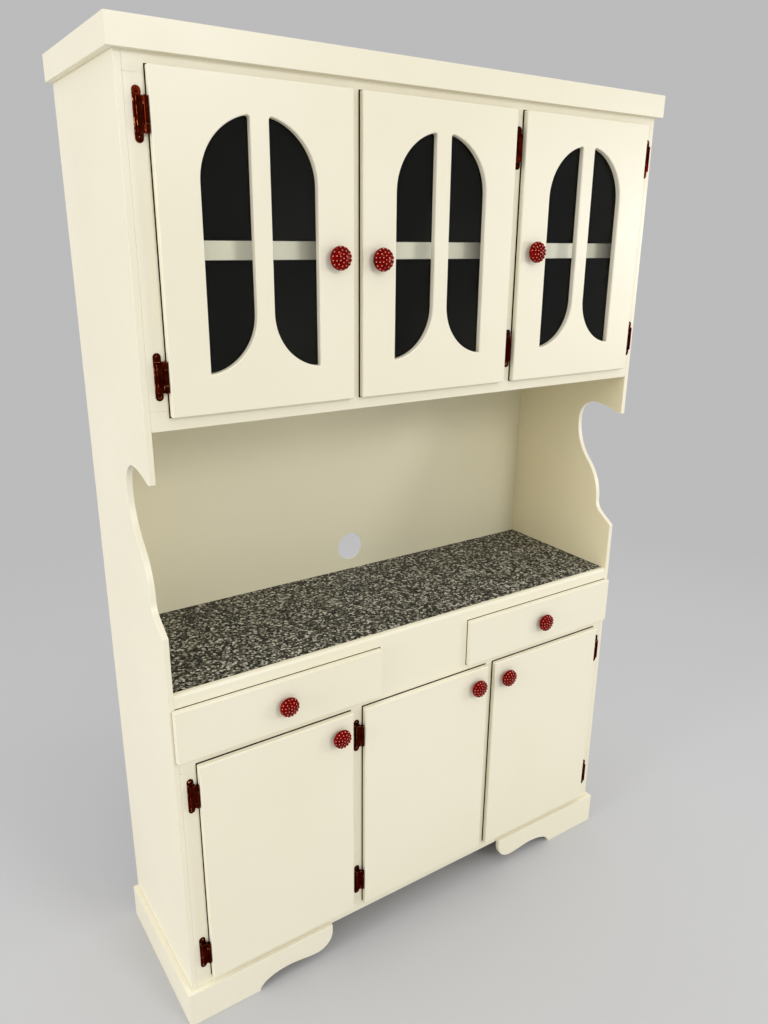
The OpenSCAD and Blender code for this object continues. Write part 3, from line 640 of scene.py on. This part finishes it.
def knob(node):
    """A waisted neck and a dome that is covered in rings of beads."""
    low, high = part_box(node)
    radius = (high.x - low.x) / 2
    seat = high.y - STUD_LENGTH
    length = seat - low.y
    rim_z = NECK_LENGTH + RIM_RADIUS
    dome_h = length - rim_z - BEAD_PROUD
    foot = NECK_RADIUS + NECK_FLARE
    profile = [(0, -STUD_LENGTH / 2), (STUD_RADIUS, -STUD_LENGTH / 2), (STUD_RADIUS, 0),
               (foot, 0), (foot, FOOT_HEIGHT)]
    profile += [(foot - NECK_FLARE * math.sin(math.radians(a)),
                 FOOT_HEIGHT + (NECK_LENGTH - FOOT_HEIGHT) * a / 180) for a in range(30, 181, 30)]
    profile += [(radius - RIM_RADIUS * (1 - math.cos(math.radians(a))),
                 rim_z + RIM_RADIUS * math.sin(math.radians(a))) for a in range(-90, 1, 18)]
    profile += [(radius * math.cos(math.radians(a)), rim_z + dome_h * math.sin(math.radians(a)))
                for a in range(8, 89, 8)]
    profile.append((0, rim_z + dome_h))
    bm = bmesh.new()
    lathe(bm, profile)
    for ring, (count, share) in enumerate(BEAD_RINGS):
        tilt = share * math.pi / 2
        out = radius * math.sin(tilt)
        up = rim_z + dome_h * math.cos(tilt)
        for i in range(count):
            turn = math.tau * (i + 0.5 * (ring % 2)) / count
            normal = Vector((math.sin(tilt) * math.cos(turn) / radius,
                             math.sin(tilt) * math.sin(turn) / radius,
                             math.cos(tilt) / dome_h)).normalized()
            surface = Vector((out * math.cos(turn), out * math.sin(turn), up))
            add_bead(bm, surface - normal * (BEAD_RADIUS - BEAD_PROUD), BEAD_RADIUS, normal)
    middle = Vector(((low.x + high.x) / 2, seat, (low.z + high.z) / 2))
    bmesh.ops.transform(bm, matrix=Matrix.Translation(middle) @ Matrix.Rotation(math.pi / 2, 4, "X"),
                        verts=bm.verts)
    piece = object_from(f"beaded_{node}", bm)
    shade_smooth(piece, KNOB_CREASE)
    # The beads' tops take the painted highlight finish
    dress(piece, node, red, tip)


for name in DOORS + DRAWERS:
    knob(f"{name}_knob")


# Floor, light and camera

FLOOR_REACH = 30.0
# The floor begins to fade at the first distance from the middle, and is gone at the second
FADE = (1.0, 3.2)
NEAREST_SEEN = 0.05


def seen(tree):
    """1 for rays that show something: straight from the camera, mirrored, or through glass."""
    path = add(tree, "ShaderNodeLightPath").outputs
    bent = calculate(tree, "MAXIMUM", path["Is Glossy Ray"], path["Is Transmission Ray"])
    return calculate(tree, "MAXIMUM", path["Is Camera Ray"], bent)


def floor():
    """A pale floor that fades into the background away from the cabinet."""
    bm = bmesh.new()
    bmesh.ops.create_grid(bm, x_segments=1, y_segments=1, size=FLOOR_REACH)
    piece = object_from("floor", bm)
    material, tree, shader, place = material_with("pale_floor", roughness=0.85)
    shader.inputs["Base Color"].default_value = opaque(FLOOR)
    distance = add(tree, "ShaderNodeVectorMath", {0: place}, operation="LENGTH").outputs["Value"]
    fade = ramp(tree, distance, *FADE)
    glow = add(tree, "ShaderNodeEmission", {"Color": opaque(BACKGROUND)})
    mix = add(tree, "ShaderNodeMixShader", {
        0: calculate(tree, "MULTIPLY", fade, seen(tree)), 1: shader.outputs["BSDF"], 2: glow.outputs[0]})
    tree.links.new(mix.outputs["Shader"], tree.nodes["Material Output"].inputs["Surface"])
    piece.data.materials.append(material)


def world(level, above):
    """Soft light from all round, stronger from above, and a plain background where it is seen."""
    made = bpy.data.worlds.new("studio")
    made.use_nodes = True
    tree = made.node_tree
    height = add(tree, "ShaderNodeSeparateXYZ", {
        "Vector": add(tree, "ShaderNodeTexCoord").outputs["Generated"]}).outputs["Z"]
    strength = ramp(tree, height, low=0.0, high=1.0, to_low=level, to_high=above)
    light = add(tree, "ShaderNodeBackground", {"Color": (1, 1, 1, 1), "Strength": strength})
    shown = add(tree, "ShaderNodeBackground", {"Color": opaque(BACKGROUND), "Strength": 1.0})
    mix = add(tree, "ShaderNodeMixShader", {0: seen(tree), 1: light.outputs[0], 2: shown.outputs[0]})
    tree.links.new(mix.outputs["Shader"], tree.nodes["World Output"].inputs["Surface"])
    bpy.context.scene.world = made


def lamp(name, place, target, size, watts):
    light = bpy.data.lights.new(name, "AREA")
    light.shape = "DISK"
    light.size = size
    light.energy = watts
    piece = bpy.data.objects.new(name, light)
    piece.location = place
    piece.rotation_euler = (Vector(target) - Vector(place)).to_track_quat("-Z", "Y").to_euler()
    bpy.context.scene.collection.objects.link(piece)


def camera():
    """The photograph's viewpoint."""
    yaw, pitch, roll = CAMERA_YAW, CAMERA_PITCH, CAMERA_ROLL
    ahead = Vector((math.sin(yaw) * math.cos(pitch), math.cos(yaw) * math.cos(pitch), math.sin(pitch)))
    level = Vector((math.cos(yaw), -math.sin(yaw), 0))
    above = level.cross(ahead)
    right = level * math.cos(roll) + above * math.sin(roll)
    up = above * math.cos(roll) - level * math.sin(roll)
    data = bpy.data.cameras.new("camera")
    data.sensor_width = SENSOR
    data.lens = FOCAL_PIXELS * SENSOR / IMAGE_HEIGHT
    data.clip_start = NEAREST_SEEN
    piece = bpy.data.objects.new("camera", data)
    turn = Matrix((right, up, -ahead)).transposed().to_4x4()
    piece.matrix_world = Matrix.Translation(CAMERA_PLACE) @ turn
    bpy.context.scene.collection.objects.link(piece)
    bpy.context.scene.camera = piece


floor()
world(level=0.6, above=1.2)
lamp("key", place=(1.2, -5.6, 3.7), target=(0.0, 0.0, 1.0), size=1.6, watts=76)
lamp("window", place=(4.5, -2.8, 1.6), target=(0.0, 0.0, 1.0), size=1.0, watts=46)
lamp("side", place=(-5.4, -0.7, 2.0), target=(-0.3, 0.0, 1.0), size=2.2, watts=100)
camera()
bpy.context.scene.view_settings.view_transform = "Standard"
